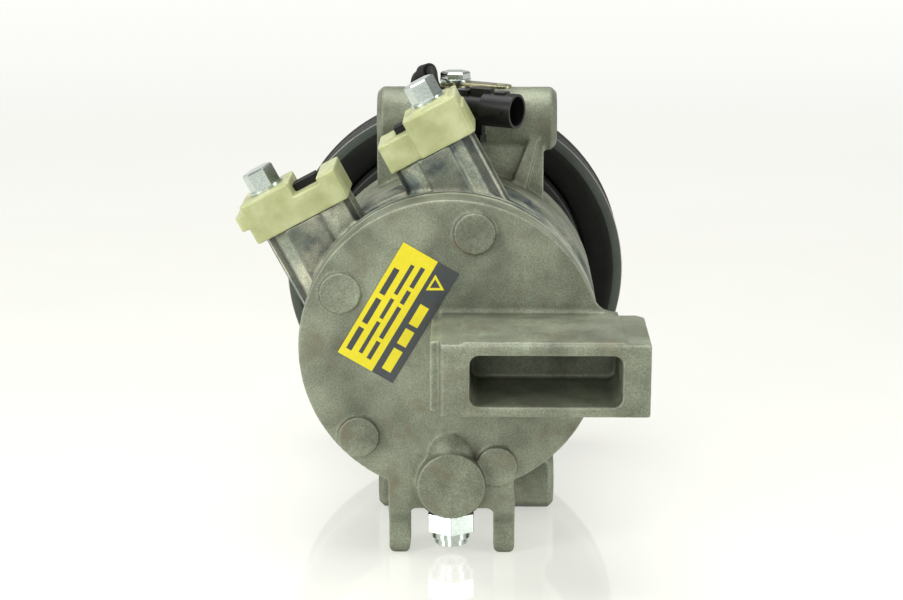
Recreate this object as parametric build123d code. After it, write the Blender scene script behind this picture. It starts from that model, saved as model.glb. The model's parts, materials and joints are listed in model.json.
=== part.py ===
"""Automotive air-conditioning compressor: scroll type, belt driven, with an electromagnetic clutch.

Frame, in millimetres: the origin is on the shaft axis, in the middle plane of the belt grooves.
+Y runs along the shaft towards the clutch, +X is towards the rear bracket's side, and +Z is up.
The compressor rests on its lower front boss and on the two feet of the rear cover.
"""
from build123d import *
import math
import os

# ---- driving dimensions -------------------------------------------------------------------

# Pressed-together housing, from the clutch end (high Y) to the rear end (low Y)
HOUSING_R = 55.5
HOUSING_FRONT_Y = -50.0
FRONT_JOINT_Y = -88.0
REAR_JOINT_Y = -118.5
GASKET_T = 0.5
REAR_FACE_Y = -134.0
BORE_R = 39.0
FLOOR_Z = -80.9

# Through bolts, M6, whose blind bosses show on the rear face
BOLT_R = 3.0
BOLT_CIRCLE_R = 46.0
BOLT_CENTRE_Z = -1.7
BOLT_ANGLES = (79.0, 150.0, 223.0, 292.0, 7.0)
BOLT_BOSS_R = 7.6
BOLT_HEAD_FLATS = 10.0

# Mounting bosses, all bored along X for M8
MOUNT_BORE_R = 4.4
FRONT_BOSS_R = 12.2
FRONT_BOSS_X = (-29.0, 40.0)
UPPER_BOSS_Y = -66.0
UPPER_BOSS_Z = 73.6
GUSSET_TOP = (31.3, 67.8)
GUSSET_FOOT = (25.5, 49.1)
LOWER_BOSS_Y = -75.7
LOWER_BOSS_Z = FLOOR_Z + FRONT_BOSS_R

# Rear bracket, a hollow box with a window to the rear
BRACKET_X = (-3.0, 70.0)
BRACKET_Y = (-178.0, -133.0)
BRACKET_Z = (-12.3, 14.0)
WINDOW_X = (7.4, 60.0)
WINDOW_Z = (-8.2, 9.9)
WINDOW_DEPTH = 36.0
BRACKET_BORE_Y = -163.0
BRACKET_BORE_Z = 0.8
BRACKET_END_Y = -136.5
ROOT_X = 61.0

# Ports: two parallel bosses that lean back from the vertical, with one common face height
PORT_LEAN = 28.0
PORT_Y = -103.5
PORT_FACE_U = 64.0
PORT_HALF_Y = 13.5
SUCTION_V = -20.5
SUCTION_R = 8.5
SUCTION_BOLT_V = -35.5
DISCHARGE_V = 20.0
DISCHARGE_R = 7.0
DISCHARGE_BOLT_V = 33.0

# Pulley and clutch
PULLEY_R = 69.9
PULLEY_HALF_W = 12.5
GROOVES = 6
GROOVE_PITCH = 3.56
GROOVE_DEPTH = 3.0
CLUTCH_FACE_Y = 12.0
AIR_GAP = 0.5
COIL_SEAT_Y = -21.5
NOSE_R = 17.5
NOSE_BORE_R = 14.0

# Scroll set: involutes on one base circle, the orbiting one shifted by the crank throw
BASE_R = 2.15
WALL_T = 3.2
FLANK_GAP = 0.06
THROW = math.pi * BASE_R - WALL_T - FLANK_GAP
WRAP_START = 2.7
WRAP_END = 15.0
WRAP_BACK_Y = -112.0
WRAP_FRONT_Y = -95.0
TIP_GAP = 0.1
TIP_SEAL_W = 1.4
TIP_SEAL_DEPTH = 1.2
ORBIT_FRONT_Y = -89.6
PIN_CIRCLE_R = 27.0
PIN_R = 2.0

# Discharge valve, oil separator and relief valve, all under the rear cover
REED_Y = REAR_JOINT_Y
REED_T = 0.4
REED_HINGE_X = 9.0
REED_SCREW_X = 15.0
SEPARATOR_X = -21.0
SEPARATOR_Y = -124.3
VALVE_X = 0.2
VALVE_Y = -126.5
VALVE_SEAT_Z = -63.4
SPRING_TOP = -53.6
SPRING_LOW = -70.6
SPRING_PITCH = 2.9
SPRING_WIRE_R = 0.55

# Bearings: pitch, ball and needle sizes give the cages' rolling ratios
MAIN_BEARING_Y = -63.0
NEEDLES = 12
NEEDLE_R = 1.23
NEEDLE_PITCH_R = 9.76

# Clutch layers, from the friction face outwards
ARMATURE_Y = CLUTCH_FACE_Y + AIR_GAP
SPRING_Y = ARMATURE_Y + 4.0
HUB_Y = SPRING_Y + 0.6

# Coil connector, its clamp strip and the coil lead
BLOCK_ANGLE = 119.0
CLAMP_X = 1.0
STRIP_Z = UPPER_BOSS_Z + 11.9
CONNECTOR_TURN = -30.0
CONNECTOR_BACK = (6.1, -84.0, 80.9)
SHELL_R = 6.5
SHELL_L = 21.0
LEAD_R = 1.9
LEAD_END = 2.5
GROMMET_START = (-12.6, -56.5, 89.4)
GROMMET_END = (-7.9, -66.5, 92.2)

# Label on the rear face
LABEL_PLACE = (-18.9, 13.6)
LABEL_TURN = -30.5
LABEL_SIZE = (23.1, 47.7)
LABEL_T = 0.15

os.makedirs("parts", exist_ok=True)
nodes = {}


# ---- shapes -------------------------------------------------------------------------------

def slab(sketch, y0, y1):
    """A sketch drawn in (X, Z), given thickness from y0 to y1."""
    face_plane = Plane(origin=(0, y1, 0), x_dir=(1, 0, 0), z_dir=(0, -1, 0))
    return extrude(face_plane * sketch, y1 - y0)


def rod(r, y0, y1, x=0.0, z=0.0):
    return slab(Pos(x, z) * Circle(r), y0, y1)


def tube(r_out, r_in, y0, y1, x=0.0, z=0.0):
    return slab(Pos(x, z) * (Circle(r_out) - Circle(r_in)), y0, y1)


def spin(*points):
    """A closed outline in (radius, Y), turned round the shaft axis."""
    return revolve(make_face(Polyline(*points, close=True)), Axis.Y)


def rod_x(r, x0, x1, y, z):
    return extrude(Plane(origin=(x0, y, z), x_dir=(0, 1, 0), z_dir=(1, 0, 0)) * Circle(r), x1 - x0)


def rod_z(r, z0, z1, x, y):
    return extrude(Plane.XY.offset(z0) * Pos(x, y) * Circle(r), z1 - z0)


def block(x, y, z):
    """A box between pairs of corner values."""
    middle = Pos((x[0] + x[1]) / 2, (y[0] + y[1]) / 2, (z[0] + z[1]) / 2)
    return middle * Box(x[1] - x[0], y[1] - y[0], z[1] - z[0])


def hexagon(flats):
    return RegularPolygon(flats / 2, 6, major_radius=False)


def rectangle(x, z):
    return Pos((x[0] + x[1]) / 2, (z[0] + z[1]) / 2) * Rectangle(x[1] - x[0], z[1] - z[0])


def polar(r, angle):
    return r * math.cos(math.radians(angle)), r * math.sin(math.radians(angle))


def bolt_centres():
    for angle in BOLT_ANGLES:
        x, z = polar(BOLT_CIRCLE_R, angle)
        yield x, z + BOLT_CENTRE_Z


def link(a, b, r_a, r_b):
    """Two discs and the straight band between them, as a sketch."""
    along = math.atan2(b[1] - a[1], b[0] - a[0])
    gap = math.dist(a, b)
    turn = math.acos((r_a - r_b) / gap)
    corners = []
    for side in (1, -1):
        for centre, r in ((a, r_a), (b, r_b))[::side]:
            way = along + side * turn
            corners.append((centre[0] + r * math.cos(way), centre[1] + r * math.sin(way)))
    band = make_face(Polyline(*corners, close=True))
    return Pos(*a) * Circle(r_a) + Pos(*b) * Circle(r_b) + band


def port(shape, v, u):
    """Place a shape in the port frame: v across the two ports, u up their axes."""
    lean = math.radians(PORT_LEAN)
    frame = Plane(origin=(0, PORT_Y, 0), x_dir=(math.cos(lean), 0, math.sin(lean)),
                  z_dir=(-math.sin(lean), 0, math.cos(lean)))
    return frame.location * Pos(v, 0, u) * shape


def port_rod(r, v, u0, u1):
    return port(extrude(Circle(r), u1 - u0), v, u0)


def port_block(v, u, half_y, corner):
    outline = fillet(Rectangle(v[1] - v[0], 2 * half_y).vertices(), corner)
    return port(extrude(outline, u[1] - u[0]), (v[0] + v[1]) / 2, u[0])


def flange_bolt(length, r, flats, head, washer_r, washer_t):
    """A hexagon flange bolt along +Z, with its seat at Z = 0 and its shank below it."""
    bolt = extrude(Circle(r), -length) + extrude(Circle(washer_r), washer_t)
    top = Plane.XY.offset(washer_t) * hexagon(flats)
    crown = chamfer(extrude(top, head - washer_t).faces().sort_by(Axis.Z)[-1].edges(), 0.6)
    return bolt + crown


# ---- housing castings ---------------------------------------------------------------------

def rear_cover():
    root = Circle(HOUSING_R) + rectangle((20, ROOT_X), BRACKET_Z)
    root = fillet(root.vertices().sort_by(Axis.Y)[-1], 8)
    skirt = rectangle((-23, 23.6), (-61.5, -40))
    left_foot = rectangle((-23, -15), (FLOOR_Z, -58))
    right_foot = rectangle((16, 24), (FLOOR_Z, -58))
    outline = Circle(HOUSING_R) + skirt + left_foot + right_foot
    corners = [v for v in outline.vertices() if v.Y < -60]
    outline = fillet(corners, 2.4)
    cover = slab(outline, REAR_FACE_Y, REAR_JOINT_Y - GASKET_T)
    rim = [e for e in cover.edges() if abs(e.center().Y - REAR_FACE_Y) < 0.01 and e.center().Z > -57]
    cover = fillet(rim, 2.6) + slab(root, REAR_FACE_Y, REAR_FACE_Y + 3)

    # The feet are thinner than the cover, and curve into it on their rear side
    heel = Polyline((-140, -85), (-128.5, -85), (-128.5, -69), (-135, -62), (-140, -62), close=True)
    heel = fillet(make_face(heel).vertices().sort_by(Axis.X)[-2:], 3.5)
    cover -= extrude(Plane(origin=(-30, 0, 0), x_dir=(0, 1, 0), z_dir=(1, 0, 0)) * heel, 60)

    for x, z in bolt_centres():
        cover += rod(BOLT_BOSS_R, REAR_FACE_Y - 2.2, REAR_FACE_Y + 4, x, z)
    # Valve boss, a round cheek behind it and the low swelling above it
    cover += rod(12.6, REAR_FACE_Y - 6, REAR_FACE_Y + 8, 0.4, -50.8)
    cover += rod_z(10.4, VALVE_SEAT_Z, -45, VALVE_X, VALVE_Y)
    cover += Pos(0.3, REAR_FACE_Y + 4.5, -40.5) * Sphere(9.8)

    cover += bracket()
    cover &= slab(Circle(200), REAR_FACE_Y - 60, REAR_JOINT_Y - GASKET_T)

    # Discharge chamber, which leaves the bolt bosses and the separator's two seats standing
    chamber = Circle(37.5)
    for x, z in bolt_centres():
        chamber -= Pos(x, z) * Circle(6.6)
    for z in (-23.0, 23.0):
        chamber -= Pos(SEPARATOR_X, z) * Rectangle(12, 7)
    cover -= slab(chamber, REAR_FACE_Y + 5, REAR_JOINT_Y)
    x, z = discharge_duct()
    duct = Pos(x * 0.86, z * 0.86) * Rot(0, 0, math.degrees(math.atan2(z, x))) * Rectangle(17, 7)
    cover -= slab(duct, REAR_FACE_Y + 8, REAR_JOINT_Y)
    cover -= rod_z(4.2, -20.5, 20.5, SEPARATOR_X, SEPARATOR_Y)
    for x, z in bolt_centres():
        cover -= rod(BOLT_R, -131.5, REAR_JOINT_Y, x, z)
    cover -= rod_z(6.0, VALVE_SEAT_Z, -30, VALVE_X, VALVE_Y)
    return cover


def bracket():
    """Box at the rear with a deep window, and one bolt hole through both of its side walls."""
    x, y, z = BRACKET_X, BRACKET_Y, BRACKET_Z
    plan = Polyline((x[0], y[0]), (x[1], y[0]), (x[1], BRACKET_END_Y - 3), (x[1] - 3, BRACKET_END_Y),
                    (ROOT_X, BRACKET_END_Y), (57, y[1]), (30, -121), (x[0], y[1]), close=True)
    body = extrude(Plane.XY.offset(z[0]) * make_face(plan), z[1] - z[0])
    front_edges = body.faces().sort_by(Axis.Y)[0].edges()
    body = fillet(front_edges, 1.8)
    body += block((x[0] - 3.6, x[0] + 1), (-172, -141), (z[0] + 0.6, z[1] - 0.4))
    body += block((5, 61), (-176.5, -144), (z[1] - 1, z[1] + 0.7))
    pocket = fillet(rectangle(WINDOW_X, WINDOW_Z).vertices(), 3.2)
    body -= slab(pocket, y[0] - 5, y[0] + WINDOW_DEPTH)
    body -= rod_x(MOUNT_BORE_R, x[0] - 10, x[1] + 10, BRACKET_BORE_Y, BRACKET_BORE_Z)
    body -= rod_x(6.2, WINDOW_X[0] - 1.2, WINDOW_X[1] + 1.2, BRACKET_BORE_Y, BRACKET_BORE_Z)
    return body


def discharge_duct():
    """Where the duct from the discharge port crosses the rear joint."""
    lean = math.radians(PORT_LEAN)
    v, u = 18.0, 46.0
    return v * math.cos(lean) - u * math.sin(lean), v * math.sin(lean) + u * math.cos(lean)


def center_housing():
    y0, y1 = REAR_JOINT_Y, FRONT_JOINT_Y - GASKET_T
    shell = spin((30, y0), (HOUSING_R - 0.3, y0), (HOUSING_R - 0.3, y0 + 6), (HOUSING_R - 1.3, y0 + 8),
                 (HOUSING_R - 1.3, y1 - 8), (HOUSING_R, y1 - 6), (HOUSING_R, y1), (30, y1))
    for v, r, bolt_v, bolt_lobe in ((SUCTION_V, 12.5, SUCTION_BOLT_V, 9.6),
                                    (DISCHARGE_V, 11.2, DISCHARGE_BOLT_V, 9.6)):
        waist = link((v, 0), (bolt_v, 0), r - 4.5, bolt_lobe - 4.5)
        lobes = Pos(v, 0) * Circle(r) + Pos(bolt_v, 0) * Circle(bolt_lobe)
        back = rectangle(sorted((v, bolt_v)), (-PORT_HALF_Y, 0))
        boss = waist + lobes + fillet(back.vertices(), 1.0)
        shell += port(extrude(boss, PORT_FACE_U - 10), 0, 10)
    shell &= slab(Circle(200), y0, y1)

    # The wall is thinned between the two ports, which leaves a slot with round ends
    slot = port_block((-10.5, 11.5), (51.3, 80), 5.2, 4.5)
    shell -= Pos(0, -1.0, 0) * slot
    shell -= rod(BORE_R, y0 - 1, y1 + 1)

    for v, r, bolt_v, duct_v, depth in (
            (SUCTION_V, SUCTION_R, SUCTION_BOLT_V, -16.0, 32.0),
            (DISCHARGE_V, DISCHARGE_R, DISCHARGE_BOLT_V, 18.0, 46.0)):
        shell -= port_rod(r, v, 52, PORT_FACE_U + 20)
        shell -= port_rod(4.0, duct_v, depth, 54)
        shell -= port_rod(3.0, bolt_v, 49, PORT_FACE_U + 20)
    x, z = discharge_duct()
    shell -= rod(3.5, y0 - 1, PORT_Y, x, z)
    for x, z in bolt_centres():
        shell -= rod(BOLT_R + 0.3, y0 - 1, y1 + 1, x, z)
    return shell


def front_housing():
    y0, y1 = FRONT_JOINT_Y, HOUSING_FRONT_Y
    body = spin(
        (NOSE_BORE_R, 12), (NOSE_R - 0.8, 12), (NOSE_R, 11.2), (NOSE_R, -10), (20.2, -10),
        (20.2, -11.5), (24, -11.5), (24, COIL_SEAT_Y), (45, COIL_SEAT_Y), (45, -27), (36, -31),
        (39, y1), (53.5, y1), (HOUSING_R, y1 - 2), (HOUSING_R, -66), (HOUSING_R - 1.2, -67.5),
        (HOUSING_R - 1.2, -71), (HOUSING_R, -72.5), (HOUSING_R, y0), (24, y0), (24, -70),
        (21, -70), (21, -57), (12, -57), (12, -34), (12.5, -34), (12.5, -24), (11, -24),
        (11, -22), (NOSE_BORE_R, -22))
    # Stiffening ribs behind the coil seat
    for angle in (43, 115, 187, 258, 330):
        rib = Plane(origin=(0, 0, 0), x_dir=(1, 0, 0), z_dir=(0, 0, 1)) * Polyline(
            (34, y1), (50, y1), (43, -27), (34, -27), close=True)
        body += Rot(0, -angle, 0) * extrude(make_face(rib), 2.5, both=True)

    # Upper boss on its web, and the lower boss that the compressor rests on
    x0, x1 = FRONT_BOSS_X
    body += mounting_boss(UPPER_BOSS_Y, UPPER_BOSS_Z)
    body += block((x0, 35), (UPPER_BOSS_Y - 8.5, UPPER_BOSS_Y + 8.5), (20, UPPER_BOSS_Z))
    body += slab(link(GUSSET_TOP, GUSSET_FOOT, 1.6, 3.0), UPPER_BOSS_Y - 11, UPPER_BOSS_Y - 6)
    body += mounting_boss(LOWER_BOSS_Y, LOWER_BOSS_Z)
    body += block((x0 + 2, 37), (LOWER_BOSS_Y - 9, LOWER_BOSS_Y + 9), (LOWER_BOSS_Z, -30))
    body -= block((x0 - 1, x1 + 1), (-100, 0), (UPPER_BOSS_Z + 11.9, 120))

    # Hollows between the bolts, open to the front
    for angle in (43, 187, 330):
        ring = Circle(51) - Circle(41.5)
        wedge = make_face(Polyline((0, 0), polar(80, angle - 20), polar(80, angle - 3), close=True))
        other = make_face(Polyline((0, 0), polar(80, angle + 3), polar(80, angle + 20), close=True))
        body -= slab(ring & (wedge + other), y0 + 8, y1 + 1)

    # Back chamber behind the thrust plate, with ribs between its pockets
    pocket = Circle(38.0) - Circle(31.0)
    for i in range(4):
        pocket -= Rot(0, 0, 45 * i) * Rectangle(90, 7)
    body -= slab(pocket, y0 - 1, -60)

    body -= rod_x(MOUNT_BORE_R, x0 - 5, x1 + 5, UPPER_BOSS_Y, UPPER_BOSS_Z)
    body -= rod_x(MOUNT_BORE_R, x0 - 5, x1 + 5, LOWER_BOSS_Y, LOWER_BOSS_Z)
    body -= rod(24, y0 - 1, -70)
    body -= rod(21, -70.5, -57)
    body -= tube(22.2, 20.5, -70.6, -69.3)
    body -= tube(15, 13, -12.5, -11.2)
    body -= tube(17.6, 16.7, 10, 11.1)
    body -= tube(24.1, 23, -20, -18.7)
    for x, z in bolt_centres():
        body -= rod(BOLT_R + 0.3, y0 - 1, y1 + 1, x, z)
        body -= rod(7.0, y1, y1 + 12, x, z)
    for x, z in pin_centres():
        body -= rod(PIN_R, y0 - 1, -80, x, z)
    body -= rod_z(3.0, UPPER_BOSS_Z + 6, UPPER_BOSS_Z + 20, CLAMP_X, UPPER_BOSS_Y)
    return body


def mounting_boss(y, z):
    x0, x1 = FRONT_BOSS_X
    boss = rod_x(FRONT_BOSS_R, x0, x1, y, z)
    ends = boss.edges().filter_by(GeomType.CIRCLE)
    return chamfer(ends, 2.2)


def pin_centres():
    for angle in (45, 135, 225, 315):
        yield polar(PIN_CIRCLE_R, angle)


def gasket(y1, inner_r):
    sheet = Circle(HOUSING_R - 0.5) - Circle(inner_r)
    for x, z in bolt_centres():
        sheet -= Pos(x, z) * Circle(BOLT_R + 0.3)
    return slab(sheet, y1 - GASKET_T, y1)


# ---- scroll set ---------------------------------------------------------------------------

def involute(phase, turned, offset):
    x = BASE_R * (math.cos(phase) + (phase - offset) * math.sin(phase))
    z = BASE_R * (math.sin(phase) - (phase - offset) * math.cos(phase))
    return (-x, -z) if turned else (x, z)


def wrap(turned, thickness, start, end):
    """The spiral wall between two involutes of one base circle."""
    half = thickness / 2 / BASE_R
    steps = 48
    phases = [start + (end - start) * i / steps for i in range(steps + 1)]
    outer = [involute(p, turned, -half) for p in phases]
    inner = [involute(p, turned, half) for p in phases]
    edge = Spline(*outer) + Line(outer[-1], inner[-1]) + Spline(*inner[::-1]) + Line(inner[0], outer[0])
    return make_face(edge)


def seal_outline(turned):
    return wrap(turned, TIP_SEAL_W, WRAP_START + 0.5, WRAP_END - 0.3)


def fixed_scroll():
    plate = rod(BORE_R, REAR_JOINT_Y, WRAP_BACK_Y)
    scroll = plate + slab(wrap(False, WALL_T, WRAP_START, WRAP_END), WRAP_BACK_Y, WRAP_FRONT_Y)
    scroll -= slab(seal_outline(False), WRAP_FRONT_Y - TIP_SEAL_DEPTH, WRAP_FRONT_Y)
    scroll -= rod(3.2, REAR_JOINT_Y - 1, WRAP_BACK_Y + 1, 1.5, 0)
    scroll -= rod(2.0, REAR_JOINT_Y - 1, -114, REED_SCREW_X, 0)
    return scroll


def orbiting_scroll():
    back = WRAP_FRONT_Y + TIP_GAP
    scroll = rod(35.2, back, ORBIT_FRONT_Y)
    scroll += slab(wrap(True, WALL_T, WRAP_START, WRAP_END), WRAP_BACK_Y + TIP_GAP, back)
    scroll += rod(14.5, ORBIT_FRONT_Y, -76.5)
    scroll -= rod(11.5, -87.5, -76)
    tip = WRAP_BACK_Y + TIP_GAP
    scroll -= slab(seal_outline(True), tip, tip + TIP_SEAL_DEPTH)
    for x, z in pin_centres():
        scroll -= rod(7.0, ORBIT_FRONT_Y - 4.2, ORBIT_FRONT_Y, x, z)
    return Pos(THROW, 0, 0) * scroll


nodes["rear_cover"] = rear_cover()
nodes["center_housing"] = center_housing()
nodes["front_housing"] = front_housing()

x, z = discharge_duct()
rear_gasket = gasket(REAR_JOINT_Y, BORE_R - 1.5) - rod(3.5, -120, -118, x, z)
nodes["housing_gaskets"] = Compound(children=[rear_gasket, gasket(FRONT_JOINT_Y, BORE_R)])

nodes["fixed_scroll"] = fixed_scroll()
nodes["orbiting_scroll"] = orbiting_scroll()
nodes["fixed_tip_seal"] = slab(seal_outline(False),
                               WRAP_FRONT_Y - TIP_SEAL_DEPTH, WRAP_FRONT_Y)
tip_y = WRAP_BACK_Y + TIP_GAP
nodes["orbiting_tip_seal"] = Pos(THROW, 0, 0) * slab(
    seal_outline(True), tip_y, tip_y + TIP_SEAL_DEPTH)
nodes["orbit_guide_rings"] = Compound(children=[
    tube(7.0, PIN_R + THROW + FLANK_GAP, ORBIT_FRONT_Y - 4.2, ORBIT_FRONT_Y, x + THROW, z)
    for x, z in pin_centres()])
nodes["orbit_guide_pins"] = Compound(children=[rod(PIN_R, -93.2, -80, x, z) for x, z in pin_centres()])
thrust = Circle(38.8) - Circle(19.5)
for x, z in pin_centres():
    thrust -= Pos(x, z) * Circle(2.05)
nodes["thrust_plate"] = slab(thrust, ORBIT_FRONT_Y + TIP_GAP, FRONT_JOINT_Y)
nodes["drive_bush_liner"] = tube(11.5, 10.04, -87.5, -76.5, THROW, 0)

# ---- discharge valve, oil separator and relief valve ----------------------------------------

tongue = link((1.5, 0), (REED_HINGE_X - 5, 0), 4.8, 4.4) + rectangle((3, REED_HINGE_X), (-4.4, 4.4))
nodes["discharge_reed"] = slab(tongue & rectangle((-9, REED_HINGE_X), (-9, 9)), REED_Y - REED_T, REED_Y)
stop = Polyline((19, REED_Y), (9.1, REED_Y), (9.1, REED_Y - 0.5), (-3.5, REED_Y - 2.9),
                (-3.5, REED_Y - 4.4), (8.0, REED_Y - 2.0), (19, REED_Y - 2.0), close=True)
stop = extrude(make_face(stop), 4.4, both=True)
nodes["reed_stop"] = stop - rod(2.0, REED_Y - 5, REED_Y, REED_SCREW_X, 0)
screw = rod(2.0, REED_Y - 2.0, -114.2, REED_SCREW_X, 0)
screw += slab(Pos(REED_SCREW_X, 0) * hexagon(7), REED_Y - 5.0, REED_Y - 2.0)
nodes["reed_screw"] = screw
nodes["oil_separator_tube"] = (rod_z(4.2, -20.5, 20.5, SEPARATOR_X, SEPARATOR_Y)
                               - rod_z(3.2, -21, 21, SEPARATOR_X, SEPARATOR_Y)
                               - rod_x(1.2, SEPARATOR_X - 6, SEPARATOR_X, SEPARATOR_Y, 10))

valve_hex = extrude(Plane.XY.offset(-71.6) * Pos(VALVE_X, VALVE_Y) * Rot(0, 0, 90) * hexagon(17), 7.2)
valve = rod_z(6.0, -64.4, -46, VALVE_X, VALVE_Y) + valve_hex
valve += rod_z(7.2, -74.6, -71.6, VALVE_X, VALVE_Y) + rod_z(6.2, -77.0, -74.6, VALVE_X, VALVE_Y)
valve -= rod_z(4.0, -78, -50, VALVE_X, VALVE_Y) + rod_z(2.0, -52, -40, VALVE_X, VALVE_Y)
nodes["relief_valve_body"] = valve
nodes["relief_valve_seal"] = rod_z(8.2, -64.4, -63.4, VALVE_X, VALVE_Y) - rod_z(6.0, -65, -63, VALVE_X, VALVE_Y)
poppet = rod_z(3.9, -53.4, -50.1, VALVE_X, VALVE_Y) + rod_z(1.6, -60, -53.4, VALVE_X, VALVE_Y)
nodes["relief_poppet"] = poppet
coil_path = Helix(pitch=SPRING_PITCH, height=SPRING_TOP - SPRING_LOW - 1.2, radius=2.9)
wire = sweep(Plane(origin=coil_path @ 0, z_dir=coil_path % 0) * Circle(SPRING_WIRE_R), path=coil_path)
nodes["relief_spring"] = Pos(VALVE_X, VALVE_Y, SPRING_LOW + 0.6) * wire
plug = rod_z(4.0, -76.4, -71.2, VALVE_X, VALVE_Y) - rod_z(1.5, -78, -70, VALVE_X, VALVE_Y)
nodes["relief_valve_plug"] = plug

# ---- shaft, crank and bearings ----------------------------------------------------------------

shaft = rod(7.0, -4, 17) + rod(8.0, -23, -4) + rod(8.5, -35.5, -23) + rod(9.4, -57, -35.5)
shaft += rod(10.0, -69.6, -57) + rod(17, -75, -69.6) + rod(5.5, -85.4, -75, THROW, 0)
shaft -= rod(3.0, -3, 18)
nodes["crankshaft"] = shaft
sector = make_face(Polyline((0, 0), polar(60, 115), polar(60, 180), polar(60, 245), close=True))
bush = rod(10.0, -85.4, -75.1, THROW, 0) + slab(Circle(23.2) & sector, -76.3, -75.1)
bush += slab((Circle(23.2) - Circle(17.2)) & sector, -76.3, -71)
nodes["eccentric_bush"] = bush - rod(5.5, -86, -70, THROW, 0)


def ball_bearing(name, y, bore, outer, width, ball_r, rows, count):
    """Inner ring, outer ring, cage and balls, with raceways that clear the balls by 0.05 mm."""
    pitch_r = (bore + outer) / 2
    inner = tube(pitch_r - 0.58 * ball_r, bore, y - width / 2, y + width / 2)
    ring = tube(outer, pitch_r + 0.58 * ball_r, y - width / 2, y + width / 2)
    cages, balls = [], []
    for row_y in rows:
        race = Pos(0, y + row_y, 0) * Rot(90, 0, 0) * Torus(pitch_r, ball_r + 0.05)
        inner -= race
        ring -= race
        cage = tube(pitch_r + 0.3 * ball_r, pitch_r - 0.3 * ball_r,
                    y + row_y - 0.85 * ball_r, y + row_y + 0.85 * ball_r)
        for i in range(count):
            x, z = polar(pitch_r, 360 * i / count)
            cage -= Pos(x, y + row_y, z) * Sphere(ball_r + 0.03)
            balls.append(Pos(x, y + row_y, z) * Sphere(ball_r))
        cages += cage.solids()
    nodes[name + "_inner_ring"] = inner
    nodes[name + "_outer_ring"] = ring
    nodes[name + "_balls"] = Compound(children=cages + balls)


ball_bearing("main_bearing", MAIN_BEARING_Y, 10.0, 21.0, 12.0, 3.6, (0.0,), 8)

nodes["front_bearing_shell"] = tube(12.5, 11.02, -34, -24)
needle_cage = tube(10.45, 9.05, -33.7, -24.3)
needles = []
for i in range(NEEDLES):
    x, z = polar(NEEDLE_PITCH_R, 360 * i / NEEDLES)
    needle_cage -= rod(NEEDLE_R + 0.03, -33.1, -24.9, x, z)
    needles.append(rod(NEEDLE_R, -33, -25, x, z))
nodes["front_bearing_needles"] = Compound(children=[needle_cage] + needles)

nodes["shaft_seal"] = spin((NOSE_BORE_R, -22), (NOSE_BORE_R, -12.6), (9.6, -12.6), (9.6, -13.8), (12, -13.8),
                           (12, -16.5), (8.04, -20.6), (8.04, -21.6), (11.5, -22))

# ---- clutch ---------------------------------------------------------------------------------

coil_case = spin((24.1, COIL_SEAT_Y), (46, COIL_SEAT_Y), (46, -20), (54, -20), (54, 6.5), (51.4, 6.5),
                 (51.4, -17.5), (36, -17.5), (36, 6.5), (33.4, 6.5), (33.4, -20), (24.1, -20))
nodes["field_coil_case"] = coil_case
nodes["field_coil_winding"] = tube(51.4, 36, -17.5, 5.5)
lead_block = block((46.4, 53), (-29.5, -20), (-5, 5)) + block((46.4, 50), (-33, -29), (-3.2, 3.2))
nodes["coil_terminal_block"] = Rot(0, -BLOCK_ANGLE, 0) * lead_block


def pulley():
    w = PULLEY_HALF_W
    rim = [(66.2, -w), (PULLEY_R, -w), (PULLEY_R, -w + 1.4)]
    first = -GROOVES / 2 * GROOVE_PITCH
    for i in range(GROOVES):
        y = first + i * GROOVE_PITCH
        rim += [(PULLEY_R - 0.7, y + 0.45), (PULLEY_R - 0.7 - GROOVE_DEPTH, y + GROOVE_PITCH / 2 - 0.35),
                (PULLEY_R - 0.7 - GROOVE_DEPTH, y + GROOVE_PITCH / 2 + 0.35),
                (PULLEY_R - 0.7, y + GROOVE_PITCH - 0.45)]
    front = [(PULLEY_R, w - 1.4), (PULLEY_R, w), (66.2, w), (65.2, w - 1), (64.0, 3.5), (59.5, 3.5),
             (58.5, CLUTCH_FACE_Y - 0.8), (57.7, CLUTCH_FACE_Y), (28.6, CLUTCH_FACE_Y),
             (27.5, CLUTCH_FACE_Y - 1), (27.5, -9.8), (32.6, -9.8), (32.6, 7.2), (54.8, 7.2), (54.8, -5.4),
             (56.2, -6.8)]
    body = spin(*rim, *front)
    # Curved flux slots through the friction face, in two rings
    for r, count, span in ((43.5, 6, 42.0), (51.0, 6, 44.0)):
        for i in range(count):
            arc = CenterArc((0, 0), r, 360 * i / count + (r > 45) * 30 - span / 2, span)
            body -= slab(SlotArc(arc, 2.2), 6, 13)
    return body - tube(29.1, 27.4, 9.9, 11.1)


nodes["pulley"] = pulley()
ball_bearing("pulley_bearing", 0.0, NOSE_R, 27.5, 19.6, 2.6, (-4.6, 4.6), 14)
seals = [tube(23.9, 21.2, y, y + 0.7) for y in (-9.3, 8.6)]
nodes["pulley_bearing_seals"] = Compound(children=seals)
nodes["pulley_bearing_snap_ring"] = tube(29.1, 25.6, 9.9, 11.1) - block((20, 32), (9, 12), (-3, 3))
nodes["housing_snap_rings"] = Compound(children=[
    tube(22.2, 19.2, -70.5, -69.3) - block((14, 30), (-72, -68), (-3, 3)),
    tube(15, 11.6, -12.5, -11.3) - block((8, 20), (-13, -11), (-3, 3)),
    tube(28, 23, -20, -18.8) - block((18, 34), (-21, -18), (-4, 4)),
    tube(19.8, 16.7, 10, 11.1) - block((14, 22), (9, 12), (-3, 3))])

def arm_points():
    """Rivet places of each leaf spring: one on the hub and one on the armature."""
    for angle in (90, 210, 330):
        yield polar(22.5, angle), polar(43.5, angle + 34)


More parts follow.
